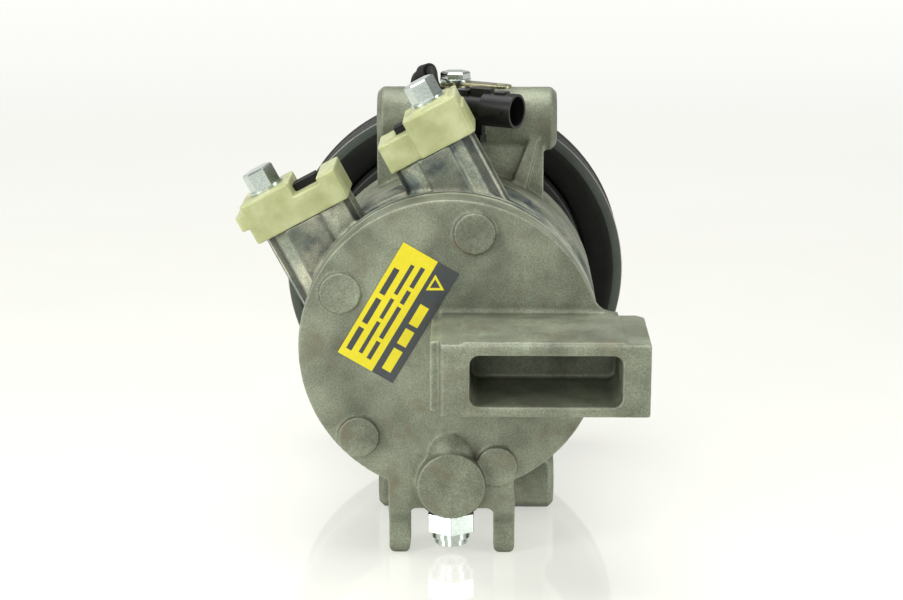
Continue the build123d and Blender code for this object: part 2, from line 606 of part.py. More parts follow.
armature = Circle(56) - Circle(31)
for _, outer in arm_points():
    armature -= Pos(*outer) * Circle(2.0)
armature = slab(armature, ARMATURE_Y, SPRING_Y)
for i in range(6):
    arc = CenterArc((0, 0), 47.3, 60 * i + 12, 36)
    if i % 2 == 0:
        armature -= slab(SlotArc(arc, 2.4), 12, 17)
nodes["armature_plate"] = chamfer(armature.edges().filter_by(GeomType.CIRCLE).sort_by(SortBy.RADIUS)[-2:], 0.8)

springs, hub_rivets, plate_rivets = [], [], []
hub_plate = Circle(15)
for inner, outer in arm_points():
    strip = link(inner, outer, 5.2, 5.0) - Pos(*inner) * Circle(2.0) - Pos(*outer) * Circle(2.0)
    springs.append(slab(strip, SPRING_Y, HUB_Y))
    hub_plate += link((0, 0), inner, 15, 6)
    hub_rivets.append(rod(2.0, SPRING_Y - 1, HUB_Y + 3, *inner) + rod(3.6, HUB_Y + 3, HUB_Y + 4.4, *inner)
                      + rod(3.4, SPRING_Y - 1.6, SPRING_Y, *inner))
    plate_rivets.append(rod(2.0, ARMATURE_Y, HUB_Y, *outer) + rod(3.8, HUB_Y, HUB_Y + 1.5, *outer))
for inner, _ in arm_points():
    hub_plate -= Pos(*inner) * Circle(2.0)
hub = slab(hub_plate, HUB_Y, HUB_Y + 3) + rod(10, -3.5, HUB_Y)
hub -= rod(7.0, -5, 17)
hub -= rod(3.2, 16, 25)
nodes["clutch_hub"] = hub
nodes["leaf_springs"] = Compound(children=springs)
nodes["hub_rivets"] = Compound(children=hub_rivets)
nodes["armature_rivets"] = Compound(children=plate_rivets)
nodes["clutch_shim"] = tube(9.6, 7.0, -4, -3.5)
bolt_place = Pos(0, HUB_Y + 3, 0) * Rot(-90, 0, 0)
nodes["hub_bolt"] = bolt_place * flange_bolt(20, 3.0, 10, 6.5, 7.0, 1.4)

# ---- bolts, port caps, connector and lead ------------------------------------------------------

through_bolt = Rot(-90, 0, 0) * flange_bolt(81, BOLT_R, BOLT_HEAD_FLATS, 6.5, 6.6, 1.4)
nodes["through_bolts"] = Compound(children=[
    Pos(x, HOUSING_FRONT_Y, z) * through_bolt for x, z in bolt_centres()])


def port_cap(name, v, r, bolt_v, seat_u, blocks, window, window_u):
    """Transit cap over one port, from blocks of (v, u, half width). Its black seal shows through a window."""
    cap = Part() + [port_block(*sizes, 1.2) for sizes in blocks]
    cap -= port_rod(3.2, bolt_v, PORT_FACE_U - 5, 100)
    cap -= port_block(window, (PORT_FACE_U - 1, 90), 4.0, 0.5)
    cap -= port_rod(r + 1.2, v, PORT_FACE_U - 1, PORT_FACE_U + 2.5)
    seal = port_rod(r - 0.2, v, PORT_FACE_U - 4, PORT_FACE_U)
    seal += port_rod(r + 1.2, v, PORT_FACE_U, PORT_FACE_U + 2.5)
    seal += port_block(window, (PORT_FACE_U, window_u), 4.0, 0.5)
    nodes[name + "_cap"] = cap
    nodes[name + "_cap_seal"] = seal
    nodes[name + "_cap_bolt"] = port(flange_bolt(28, 2.9, 10.6, 8.4, 6.7, 1.2), bolt_v, seat_u)


face, top = PORT_FACE_U, 79.2
port_cap("suction", SUCTION_V, SUCTION_R, SUCTION_BOLT_V, top, (
    ((-46.4, -8.4), (face, 73.7), PORT_HALF_Y),
    ((-15.8, -8.4), (face, 76.0), PORT_HALF_Y),
    ((-49.2, -26.0), (70.6, 76.4), PORT_HALF_Y),
    ((-45.8, -26.0), (face, top), PORT_HALF_Y)), (-25.9, -16.6), 76.4)
port_cap("discharge", DISCHARGE_V, DISCHARGE_R, DISCHARGE_BOLT_V, top + 0.9, (
    ((9.4, 24.0), (face, 75.0), PORT_HALF_Y - 1.6),
    ((22.0, 43.4), (face, top), PORT_HALF_Y),
    ((36.0, 44.2), (face, 74.2), PORT_HALF_Y - 1.5),
    ((26.0, 41.0), (face, top + 0.9), PORT_HALF_Y - 4)), (17.0, 21.9), 77.4)

# Two-pin coil connector: a round shell whose mouth looks out sideways and to the rear
socket = Plane(origin=CONNECTOR_BACK, x_dir=(0, 0, 1), z_dir=(
    math.cos(math.radians(CONNECTOR_TURN)), math.sin(math.radians(CONNECTOR_TURN)), 0))


def along_socket(sketch, s0, s1):
    return extrude(socket.offset(s0) * sketch, s1 - s0)


shell = along_socket(Circle(5.0), -2.0, 8.2) + along_socket(Circle(SHELL_R), 8.0, SHELL_L)
shell += along_socket(Pos(SHELL_R - 0.5, 0) * Rectangle(3.2, 4.2), 2, 10)
shell += along_socket(Pos(SHELL_R - 0.4, 0) * Rectangle(1.6, 5.0), 12.5, 16.5)
# A latch ear over the lead, a keyed rib on each side and the leg of the retaining clip
shell += along_socket(Pos(4.6, 0) * Rectangle(4.0, 5.0), -4.6, 1)
shell += along_socket(Rectangle(1.4, 2 * SHELL_R + 1.2), 8, 18)
shell += along_socket(Pos(-8.6, 0) * Rectangle(9.0, 2.4), 3.4, 6.6)
shell += along_socket(Pos(-11.6, 0) * Rectangle(3.0, 4.6), 1.4, 6.6)
shell -= along_socket(Circle(SHELL_R - 1.0), 9.5, SHELL_L + 1)
shell -= along_socket(Circle(2.2), -3, 3)
for side in (-1, 1):
    shell -= along_socket(Pos(0, 2.2 * side) * Rectangle(2.6, 0.8), 4, 10)
nodes["connector_shell"] = shell
nodes["connector_terminals"] = Compound(children=[
    along_socket(Pos(0, 2.2 * side) * Rectangle(2.6, 0.8), 4, 14.5) for side in (-1, 1)])

# Clamp strip under the screw on the upper boss: it carries the connector and ends in a slot
strip_plane = Plane(origin=(CLAMP_X, UPPER_BOSS_Y, STRIP_Z), x_dir=(
    math.cos(math.radians(CONNECTOR_TURN)), math.sin(math.radians(CONNECTOR_TURN)), 0), z_dir=(0, 0, 1))
arm = Pos(10.5, 0) * Rectangle(21, 6.5) + Pos(21, 0) * Circle(3.25) + Pos(0, 0) * Circle(5.5)
arm -= Circle(3.0)
lower = extrude(strip_plane * (Circle(5.5) + Pos(-3, 0) * Rectangle(6, 8) - Circle(3.0)), 1.4)
slot_cut = Pos(19.5, 0) * SlotOverall(5.5, 2.4)
upper = extrude(strip_plane.offset(1.4) * (arm - slot_cut), 1.2)
nodes["connector_bracket"] = Compound(children=[lower, upper])
nodes["clamp_screw"] = Pos(CLAMP_X, UPPER_BOSS_Y, STRIP_Z + 2.6) * flange_bolt(8.4, 3.0, 10, 3.6, 6.0, 0.9)

# Coil lead: up in front of the upper boss, over it through the grommet, and down into the connector
def on_socket_axis(s):
    x, y = polar(s, CONNECTOR_TURN)
    return CONNECTOR_BACK[0] + x, CONNECTOR_BACK[1] + y, CONNECTOR_BACK[2]


block_x, block_z = polar(48.2, BLOCK_ANGLE)
lead_points = [(block_x, -33.0, block_z), (block_x, -41.0, block_z), (-21.5, -47.0, 56.0),
               (-16.0, -49.5, 70.0), (-14.8, -51.0, 86.6), GROMMET_START, GROMMET_END,
               (-7.2, -74.5, 88.8), on_socket_axis(-11.0), on_socket_axis(LEAD_END)]
lead_radii = [8, 25, 30, 4.5, 9, 6, 5, 5]
route = FilletPolyline(*lead_points, radius=lead_radii)
nodes["coil_lead"] = sweep(Plane(origin=route @ 0, z_dir=route % 0) * Circle(LEAD_R), path=route)
print("lead length", round(route.length, 1), "bend radii", lead_radii)
grommet_run = Vector(*GROMMET_END) - Vector(*GROMMET_START)
grommet_plane = Plane(origin=Vector(*GROMMET_START) + grommet_run * 0.2, z_dir=grommet_run)
nodes["lead_grommet"] = extrude(grommet_plane * (Circle(3.0) - Circle(LEAD_R)), grommet_run.length * 0.6)

label = Rot(0, 0, LABEL_TURN) * Rectangle(*LABEL_SIZE)
nodes["label"] = slab(Pos(*LABEL_PLACE) * label, REAR_FACE_Y - LABEL_T, REAR_FACE_Y)

for name, shape in nodes.items():
    export_step(shape, f"parts/{name}.step")
print(len(nodes), "nodes")
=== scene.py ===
"""Automotive AC compressor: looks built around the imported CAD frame."""
import json
import math

import bmesh
import bpy
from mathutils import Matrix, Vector


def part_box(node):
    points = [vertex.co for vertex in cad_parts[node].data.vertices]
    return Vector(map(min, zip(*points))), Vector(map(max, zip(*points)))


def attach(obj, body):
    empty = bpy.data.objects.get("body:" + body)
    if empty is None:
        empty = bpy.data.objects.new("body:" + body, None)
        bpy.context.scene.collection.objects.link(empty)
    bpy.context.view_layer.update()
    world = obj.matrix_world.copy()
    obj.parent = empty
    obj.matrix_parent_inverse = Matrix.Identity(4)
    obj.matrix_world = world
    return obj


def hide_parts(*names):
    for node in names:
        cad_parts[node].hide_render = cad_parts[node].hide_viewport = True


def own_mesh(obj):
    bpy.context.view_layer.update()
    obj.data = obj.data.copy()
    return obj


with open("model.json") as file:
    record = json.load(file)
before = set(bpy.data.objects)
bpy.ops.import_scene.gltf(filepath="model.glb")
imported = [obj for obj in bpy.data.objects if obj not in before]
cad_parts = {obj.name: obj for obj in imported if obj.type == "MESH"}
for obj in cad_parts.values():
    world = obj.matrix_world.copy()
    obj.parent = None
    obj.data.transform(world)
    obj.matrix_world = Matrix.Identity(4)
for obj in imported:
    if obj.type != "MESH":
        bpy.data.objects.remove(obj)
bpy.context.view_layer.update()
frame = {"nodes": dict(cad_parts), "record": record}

MM = 0.001
NODES = frame["nodes"]
BODIES = frame["record"]["behaviour"]["bodies"]
BODY_OF = {node: body for body, members in BODIES.items() for node in members}
SLOT_OF = {part["node"]: part["material_slot"] for part in frame["record"]["subparts"]}
FLOOR_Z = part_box("rear_cover")[0][2]

# The compressor's own sizes, in millimetres. Y runs along the shaft.
REAR_JOINT_Y = -118.5
FRONT_JOINT_Y = -88.0
GASKET_T = 0.5
PULLEY_R = 69.9
PULLEY_RIM_R = 65.8
PULLEY_HALF_W = 12.5


# ---------------------------------------------------------------- camera, floor and light

CAMERA_PLACE = (0.011506, -0.886496, 0.213228)
CAMERA_PITCH = math.radians(75.5)
CAMERA_YAW = math.radians(0.84)
CAMERA_LENS = 85.71
FLOOR_HALF = 4.0
LIGHT_AIM = Vector((0, -0.1, 0))
# Each light's place, width and height in metres, and watts: one large overhead panel, a tall one on each side, and a
# small one in front that reaches into the bracket's window.
LIGHTS = {
    "top": ((-0.1, -0.05, 0.9), 0.7, 0.7, 9),
    "left": ((-0.8, -0.7, 0.4), 0.3, 0.8, 7),
    "right": ((0.9, -0.5, 0.3), 0.3, 0.8, 4),
    "front": ((-0.2, -1.2, 0.45), 0.35, 0.35, 3),
}
# A white tent, brightest at its foot and greyer overhead, so that shiny pieces mirror a soft fall of light.
TENT = ((0.06, "#ffffff"), (0.25, "#b4b4b0"), (0.6, "#a0a09c"), (1, "#c0c0bc"))


def set_camera():
    camera = bpy.data.objects.new("camera", bpy.data.cameras.new("camera"))
    camera.data.sensor_width = 36
    camera.data.lens = CAMERA_LENS
    camera.data.clip_start = 0.05
    camera.location = CAMERA_PLACE
    camera.rotation_euler = (CAMERA_PITCH, 0, CAMERA_YAW)
    bpy.context.scene.collection.objects.link(camera)
    bpy.context.scene.camera = camera


def lay_floor():
    mesh = bpy.data.meshes.new("floor")
    corners = ((-1, -1), (1, -1), (1, 1), (-1, 1))
    mesh.from_pydata([(x * FLOOR_HALF, y * FLOOR_HALF, FLOOR_Z) for x, y in corners], [], [(0, 1, 2, 3)])
    mesh.materials.append(FLOOR_WHITE)
    new_piece("floor", mesh)


def light_scene():
    world = bpy.data.worlds.new("white_tent")
    world.use_nodes = True
    tree = world.node_tree
    direction = add(tree, "ShaderNodeTexCoord").outputs["Generated"]
    height = add(tree, "ShaderNodeSeparateXYZ", {"Vector": direction}).outputs["Z"]
    tent = add(tree, "ShaderNodeValToRGB", {"Fac": height}, TENT).outputs["Color"]
    tree.links.new(tent, tree.nodes["Background"].inputs["Color"])
    tree.nodes["Background"].inputs["Strength"].default_value = 1.0
    bpy.context.scene.world = world
    # Colours come out as they were mixed, on pure white.
    bpy.context.scene.view_settings.view_transform = "Standard"
    for name, (place, width, height, watts) in LIGHTS.items():
        light = bpy.data.lights.new(name, "AREA")
        light.shape = "RECTANGLE"
        light.size, light.size_y = width, height
        light.energy = watts
        lamp = bpy.data.objects.new(name, light)
        lamp.location = place
        lamp.rotation_euler = (LIGHT_AIM - Vector(place)).to_track_quat("-Z", "Y").to_euler()
        bpy.context.scene.collection.objects.link(lamp)


# ---------------------------------------------------------------- materials

# The inputs and the output of a Mix node that carry colour.
MIX_FACTOR, MIX_A, MIX_B, MIX_RESULT = 0, 6, 7, 2
# Nearly all values of a noise lie between these two.
NOISE_SPREAD = {"From Min": 0.3, "From Max": 0.7}


def linear(hex_colour):
    """An sRGB colour such as "#9aa08c" as linear RGBA."""
    parts = [int(hex_colour[i:i + 2], 16) / 255 for i in (1, 3, 5)]
    return tuple(c / 12.92 if c <= 0.04045 else ((c + 0.055) / 1.055) ** 2.4 for c in parts) + (1,)


def per_mm(size):
    """The texture scale that gives features this many millimetres across."""
    return 1 / (size * MM)


def add(tree, kind, inputs=(), stops=(), **settings):
    """Adds a node, sets its properties and inputs, and links an input whose value is another node's socket.
    stops are a colour ramp's (position, hex colour) pairs."""
    node = tree.nodes.new(kind)
    for name, value in settings.items():
        setattr(node, name, value)
    for name, value in dict(inputs).items():
        if isinstance(value, bpy.types.NodeSocket):
            tree.links.new(value, node.inputs[name])
        else:
            node.inputs[name].default_value = value
    if stops:
        elements = node.color_ramp.elements
        while len(elements) < len(stops):
            elements.new(0.5)
        for element, (position, colour) in zip(elements, stops):
            element.position = position
            element.color = linear(colour)
    return node


def new_material(name, **shader):
    """A material with one Principled shader; returns it, its tree and the shader."""
    material = bpy.data.materials.new(name)
    material.use_nodes = True
    tree = material.node_tree
    principled = tree.nodes["Principled BSDF"]
    for socket, value in shader.items():
        principled.inputs[socket.replace("_", " ")].default_value = value
    return material, tree, principled


# The casting's noises, as (size in mm, detail, roughness).
BLAST_PITS = (0.65, 3, 0.7)     # pits left by the shot
DIE_CLOUDS = (16, 3, 0.55)      # uneven skin left by the die
OIL_BLOTCHES = (9, 4, 0.6)      # oil and handling stains
PIT_DEPTH = 0.14
LAND_DEPTH = 0.8
BLOTCH_DEPTH = 0.6
# Painted shade: the casting's colour is darkened by this ramp where ambient occlusion finds a wall within this reach
# in mm.
CREVICE_SHADE_REACH = 6.0
CREVICE_SHADE = ((0.2, "#88877a"), (0.9, "#ffffff"))
PIT_SHADE = ((0, "#b4b4b4"), (1, "#ffffff"))
# Edges painted lighter: rubbed wear and a painted highlight along them.
RUBBED_EDGE_AND_HIGHLIGHT = "#c4c8b4"
# Turned lands and grooves round the housings: (place along the shaft in mm, grey level). The middle grey leaves the
# casting as it is, lighter levels are polished lands, darker ones painted shade in the grooves, and the joint's dark
# line.
TURNED_FROM, TURNED_TO = -123.5, -96.5
TURNED = (
    (-123.4, "#bcbcbc"), (-122.6, "#f4f4f4"), (-120.0, "#ffffff"), (-119.7, "#101010"), (-118.1, "#101010"),
    (-117.7, "#b4b4b4"), (-116.2, "#bcbcbc"), (-115.6, "#ffffff"), (-112.0, "#f4f4f4"), (-111.4, "#787878"),
    (-109.2, "#888888"), (-108.8, "#ffffff"), (-107.8, "#ffffff"), (-107.4, "#787878"), (-104.8, "#888888"),
    (-104.2, "#f0f0f0"), (-99.0, "#e8e8e8"), (-97.4, "#bcbcbc"))


def blasted_casting(name, dark, middle, light, stain, stain_from, stain_to):
    """Die-cast aluminium, shot blasted: a dull matte grey skin that sparkles faintly where each pit catches light,
    with broad oily stains, edges painted lighter as rubbed wear and a painted highlight, painted shade in the
    corners, and turned bands beside the joint whose grooves are painted darker as shade."""
    material, tree, shader = new_material(name, Metallic=0.45, Roughness=0.5)
    place = add(tree, "ShaderNodeTexCoord").outputs["Object"]
    pits, clouds, blotches = [
        add(tree, "ShaderNodeTexNoise", {"Vector": place, "Scale": per_mm(size), "Detail": detail,
                                         "Roughness": roughness}).outputs["Fac"]
        for size, detail, roughness in (BLAST_PITS, DIE_CLOUDS, OIL_BLOTCHES)]
    pit_level = add(tree, "ShaderNodeMapRange", {"Value": pits, **NOISE_SPREAD}).outputs["Result"]
    cloud_level = add(tree, "ShaderNodeMapRange", {"Value": clouds, **NOISE_SPREAD}).outputs["Result"]

    skin = add(tree, "ShaderNodeValToRGB", {"Fac": cloud_level}, ((0, dark), (0.5, middle), (1, light)))
    pit_shade = add(tree, "ShaderNodeValToRGB", {"Fac": pit_level}, PIT_SHADE)
    pitted = add(tree, "ShaderNodeMix", {MIX_FACTOR: 1.0, MIX_A: skin.outputs["Color"],
                                         MIX_B: pit_shade.outputs["Color"]},
                 data_type="RGBA", blend_type="MULTIPLY")

    oily = add(tree, "ShaderNodeMapRange", {"Value": blotches, "From Min": stain_from, "From Max": stain_to})
    stained = add(tree, "ShaderNodeMix", {MIX_FACTOR: oily.outputs["Result"], MIX_A: pitted.outputs[MIX_RESULT],
                                          MIX_B: linear(stain)}, data_type="RGBA")

    # Edges found by pointiness painted lighter: rubbed wear and a painted highlight.
    edge = add(tree, "ShaderNodeNewGeometry").outputs["Pointiness"]
    edge_wear_and_highlight = add(tree, "ShaderNodeMapRange", {"Value": edge, "From Min": 0.52, "From Max": 0.6, "To Max": 0.45})
    worn_and_highlit = add(tree, "ShaderNodeMix", {MIX_FACTOR: edge_wear_and_highlight.outputs["Result"], MIX_A: stained.outputs[MIX_RESULT],
                                       MIX_B: linear(RUBBED_EDGE_AND_HIGHLIGHT)}, data_type="RGBA")

    # Painted shade: corners and crevices darkened from ambient occlusion.
    crevice_occlusion = add(tree, "ShaderNodeAmbientOcclusion", {"Distance": CREVICE_SHADE_REACH * MM}, samples=8).outputs["AO"]
    painted_crevice_shade = add(tree, "ShaderNodeValToRGB", {"Fac": crevice_occlusion}, CREVICE_SHADE)
    crevice_shaded = add(tree, "ShaderNodeMix", {MIX_FACTOR: 1.0, MIX_A: worn_and_highlit.outputs[MIX_RESULT],
                                        MIX_B: painted_crevice_shade.outputs["Color"]},
                data_type="RGBA", blend_type="MULTIPLY")

    # Turned bands: lands painted lighter as polished metal, grooves painted darker as shade.
    along = add(tree, "ShaderNodeSeparateXYZ", {"Vector": place}).outputs["Y"]
    share = add(tree, "ShaderNodeMapRange", {"Value": along, "From Min": TURNED_FROM * MM,
                                             "From Max": TURNED_TO * MM})
    stops = [((at - TURNED_FROM) / (TURNED_TO - TURNED_FROM), grey) for at, grey in TURNED]
    lands_and_groove_shade = add(tree, "ShaderNodeValToRGB", {"Fac": share.outputs["Result"]}, stops).outputs["Color"]
    banded = add(tree, "ShaderNodeMix", {MIX_FACTOR: 1.0, MIX_A: crevice_shaded.outputs[MIX_RESULT], MIX_B: lands_and_groove_shade},
                 data_type="RGBA", blend_type="OVERLAY")
    tree.links.new(banded.outputs[MIX_RESULT], shader.inputs["Base Color"])

    gloss = add(tree, "ShaderNodeMapRange", {"Value": pits, **NOISE_SPREAD, "To Min": 0.42, "To Max": 0.62})
    tree.links.new(gloss.outputs["Result"], shader.inputs["Roughness"])
    bump = add(tree, "ShaderNodeBump", {"Height": pits, "Strength": 0.7, "Distance": PIT_DEPTH * MM})
    steps = add(tree, "ShaderNodeBump", {"Height": lands_and_groove_shade, "Strength": 0.6, "Distance": LAND_DEPTH * MM,
                                         "Normal": bump.outputs["Normal"]})
    waves = add(tree, "ShaderNodeBump", {"Height": blotches, "Strength": 0.5, "Distance": BLOTCH_DEPTH * MM,
                                         "Normal": steps.outputs["Normal"]})
    tree.links.new(waves.outputs["Normal"], shader.inputs["Normal"])
    return material


# Slow drifts of tone are this many grains across.
DRIFT = 12


def grained(name, dark, light, size, bump_mm=0.02, stretch=(1, 1, 1), rough=(0.3, 0.5), **shader_settings):
    """One colour that drifts between two tones over a grain of this size in millimetres, with a matching bump.
    stretch draws the grain out along an axis: turned, rolled or ground marks."""
    material, tree, shader = new_material(name, **shader_settings)
    space = add(tree, "ShaderNodeTexCoord").outputs["Object"]
    place = add(tree, "ShaderNodeMapping", {"Vector": space, "Scale": stretch}).outputs["Vector"]
    grain, drift = [
        add(tree, "ShaderNodeTexNoise", {"Vector": place, "Scale": per_mm(across), "Detail": detail,
                                         "Roughness": roughness}).outputs["Fac"]
        for across, detail, roughness in ((size, 3, 0.6), (size * DRIFT, 2, 0.5))]
    halves = [add(tree, "ShaderNodeMapRange", {"Value": value, **NOISE_SPREAD, "To Max": 0.5}).outputs["Result"]
              for value in (grain, drift)]
    both = add(tree, "ShaderNodeMath", {0: halves[0], 1: halves[1]}, operation="ADD").outputs["Value"]
    tone = add(tree, "ShaderNodeValToRGB", {"Fac": both}, ((0, dark), (1, light)))
    tree.links.new(tone.outputs["Color"], shader.inputs["Base Color"])
    gloss = add(tree, "ShaderNodeMapRange", {"Value": grain, **NOISE_SPREAD, "To Min": rough[0],
                                             "To Max": rough[1]})
    tree.links.new(gloss.outputs["Result"], shader.inputs["Roughness"])
    bump = add(tree, "ShaderNodeBump", {"Height": grain, "Strength": 0.4, "Distance": bump_mm * MM})
    tree.links.new(bump.outputs["Normal"], shader.inputs["Normal"])
    return material


def cap_nylon():
    """Natural nylon, injection moulded: ivory with a green cast, waxy, light passing a little way in, and slightly
    cloudier where the melt flowed."""
    material, tree, shader = new_material("natural_injection_moulded_nylon", IOR=1.53, Roughness=0.38,
                                          Subsurface_Weight=0.35, Subsurface_Scale=2.5 * MM,
                                          Subsurface_Radius=(1.0, 0.9, 0.45))
    place = add(tree, "ShaderNodeTexCoord").outputs["Object"]
    # Flow clouds 7 mm across and a 0.5 mm orange peel, as (size in mm, detail).
    flow, peel = [
        add(tree, "ShaderNodeTexNoise", {"Vector": place, "Scale": per_mm(size), "Detail": detail,
                                         "Roughness": 0.5}).outputs["Fac"]
        for size, detail in ((7, 3), (0.5, 2))]
    level = add(tree, "ShaderNodeMapRange", {"Value": flow, **NOISE_SPREAD}).outputs["Result"]
    tone = add(tree, "ShaderNodeValToRGB", {"Fac": level}, ((0, "#95996a"), (0.5, "#a2a678"), (1, "#b0b48a")))
    tree.links.new(tone.outputs["Color"], shader.inputs["Base Color"])
    gloss = add(tree, "ShaderNodeMapRange", {"Value": peel, **NOISE_SPREAD, "To Min": 0.3, "To Max": 0.44})
    tree.links.new(gloss.outputs["Result"], shader.inputs["Roughness"])
    bump = add(tree, "ShaderNodeBump", {"Height": peel, "Strength": 0.3, "Distance": 0.03 * MM})
    tree.links.new(bump.outputs["Normal"], shader.inputs["Normal"])
    return material


MATERIALS = {
    "cast_aluminium": blasted_casting(
        "shot_blasted_die_cast_aluminium", "#6f7563", "#898f7b", "#9ca38c", "#6a6450", 0.53, 0.8),
    "stained_casting": blasted_casting(
        "oil_stained_die_cast_aluminium", "#5d655b", "#868b7b", "#aba996", "#384344", 0.47, 0.68),
    # Milled or turned aluminium: bright, with fine tool marks.
    "machined_aluminium": grained(
        "milled_aluminium", "#b4b7b3", "#d2d4cf", 0.4, 0.01, (1, 1, 6), (0.22, 0.38), Metallic=1.0),
    # Cathodic dip coat on steel: a thin, even black with a low satin gloss.
    "black_e_coat": grained(
        "cathodic_dip_coated_steel", "#161714", "#222420", 0.7, 0.02, rough=(0.34, 0.5),
        IOR=1.5, Coat_Weight=0.15, Coat_Roughness=0.3),
    # Ground steel: grey and silky, scratched one way.
    "ground_steel": grained(
        "ground_steel", "#9a9c9d", "#b9bbbb", 0.3, 0.01, (1, 8, 1), (0.2, 0.36), Metallic=1.0),
    # Hardened bearing steel, lapped: nearly a mirror.
    "bearing_steel": grained(
        "lapped_bearing_steel", "#b4b6b8", "#cacccd", 0.5, 0.003, rough=(0.08, 0.16), Metallic=1.0),
    # Bright zinc plate: pale, cool and shiny, slightly uneven.
    "zinc_steel": grained(
        "bright_zinc_plate", "#aab4ae", "#d2dad4", 0.8, 0.01, rough=(0.14, 0.26), Metallic=1.0),
    # Yellow-passivated zinc: dull straw with a green cast in patches.
    "yellow_zinc": grained(
        "yellow_passivated_zinc", "#77755a", "#9c9a7c", 1.6, 0.004, rough=(0.26, 0.36), Metallic=1.0),
    # Tempered strip: dark grey-blue, smooth.
    "spring_steel": grained(
        "tempered_spring_steel", "#6e7276", "#8b8f92", 0.5, 0.005, (1, 5, 1), (0.22, 0.36), Metallic=1.0),
    # Copper winding under poured resin: brown-red and glossy.
    "copper_potting": grained(
        "epoxy_potted_copper_winding", "#4a1d10", "#6b3320", 0.6, 0.05, (1, 1, 1), (0.2, 0.34), IOR=1.55),
    # Nitrile rubber, moulded: deep black with a soft bloom.
    "black_rubber": grained(
        "moulded_nitrile_rubber", "#0b0c0b", "#161716", 0.5, 0.03, rough=(0.5, 0.7),
        IOR=1.52, Specular_IOR_Level=0.25),
    # Glass-filled nylon: black, finely pebbled and slightly shiny.
    "black_plastic": grained(
        "glass_filled_nylon", "#090a0a", "#131514", 0.4, 0.03, rough=(0.3, 0.46),
        IOR=1.53, Specular_IOR_Level=0.25),
    # The coil's terminal block: a greyer, bluish nylon whose worn edges catch light.
    "terminal_nylon": grained(
        "slate_glass_filled_nylon", "#3a4144", "#50585b", 0.6, 0.03, rough=(0.3, 0.45), IOR=1.53),
    # Filled PTFE: waxy off-white.
    "ptfe": grained("filled_ptfe", "#bdb9ad", "#cfccc2", 0.6, 0.02, rough=(0.4, 0.55), IOR=1.35),
    # Rubber-coated sheet: flat black edge between the castings.
    "gasket_sheet": grained(
        "rubber_coated_steel_sheet", "#15150f", "#26261f", 0.5, 0.02, rough=(0.5, 0.65), IOR=1.5),
    # Tinned brass: warm pale metal.
    "brass_pin": grained(
        "tinned_brass", "#b49a5c", "#d6c48e", 0.3, 0.005, (1, 1, 4), (0.2, 0.32), Metallic=1.0),
    # Printed film: glossy saturated ink.
    "label_film": grained(
        "printed_film_yellow", "#cdbf10", "#d8cb1e", 1.2, 0.01, rough=(0.28, 0.38), IOR=1.49),
    "cap_nylon": cap_nylon(),
}
# Where the black coat has rubbed through on an edge: dull bare steel, which on the pulley's outer corners is also a
# painted highlight.
RUBBED_STEEL_AND_HIGHLIGHT = grained(
    "rubbed_bare_steel_and_highlight", "#6d6a66", "#8c8984", 0.5, 0.01, rough=(0.3, 0.45), Metallic=0.8)
# The same black coat painted a lighter dark satin grey: a painted sheen on the pulley rim's rear face.
PAINTED_SHEEN_COAT = grained("dip_coat_painted_sheen", "#3a413b", "#4b534b", 0.9, 0.02, rough=(0.4, 0.55), IOR=1.5)
# The same printed film in charcoal ink.
LABEL_DARK = grained(
    "printed_film_charcoal", "#2c3132", "#3a3f40", 1.2, 0.01, rough=(0.28, 0.38), IOR=1.49)
# White acrylic sheet, lit from below: an even white with a pale mirror image of what stands on it.
FLOOR_WHITE = grained(
    "glossy_white_acrylic_sheet", "#a9aaa2", "#b0b1a9", 60, 0.0, rough=(0.04, 0.07), IOR=1.49,
    Emission_Color=(1, 1, 0.95, 1), Emission_Strength=0.62, Coat_Weight=1.0, Coat_Roughness=0.05)

# Nodes whose look is not simply that of their record slot.
SPECIAL_SURFACE = {"coil_terminal_block": "terminal_nylon", "center_housing": "stained_casting"}


def surface_of(node):
    return MATERIALS[SPECIAL_SURFACE.get(node, SLOT_OF[node])]


# ---------------------------------------------------------------- making pieces

WELD = 0.002
SMOOTHED_ANGLE = math.radians(32)


def new_piece(name, mesh):
    piece = bpy.data.objects.new(name, mesh)
    bpy.context.scene.collection.objects.link(piece)
    return piece


def finish_piece(piece, node, materials):
    """Gives a piece its materials, lets it ride on its node's body and puts it in the node's place."""
    slots = piece.data.materials
    for i, material in enumerate(materials):
        if i < len(slots):
            slots[i] = material
        else:
            slots.append(material)
    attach(piece, BODY_OF[node])
    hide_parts(node)


def welded_copy(node, name):
    """A new piece with a node's own surface, its facets joined."""
    form = bmesh.new()
    form.from_mesh(NODES[node].data)
    bmesh.ops.remove_doubles(form, verts=form.verts, dist=WELD * MM)
    mesh = bpy.data.meshes.new(name)
    form.to_mesh(mesh)
    form.free()
    for attribute in ("custom_normal", "sharp_edge", "sharp_face"):
        if attribute in mesh.attributes:
            mesh.attributes.remove(mesh.attributes[attribute])
    return new_piece(name, mesh)


def settle(piece):
    """Turns the piece's modifiers into its mesh."""
    evaluated = piece.evaluated_get(bpy.context.evaluated_depsgraph_get())
    mesh = bpy.data.meshes.new_from_object(evaluated)
    piece.modifiers.clear()
    piece.data = mesh


def shade_smooth(piece):
    piece.data.polygons.foreach_set("use_smooth", [True] * len(piece.data.polygons))


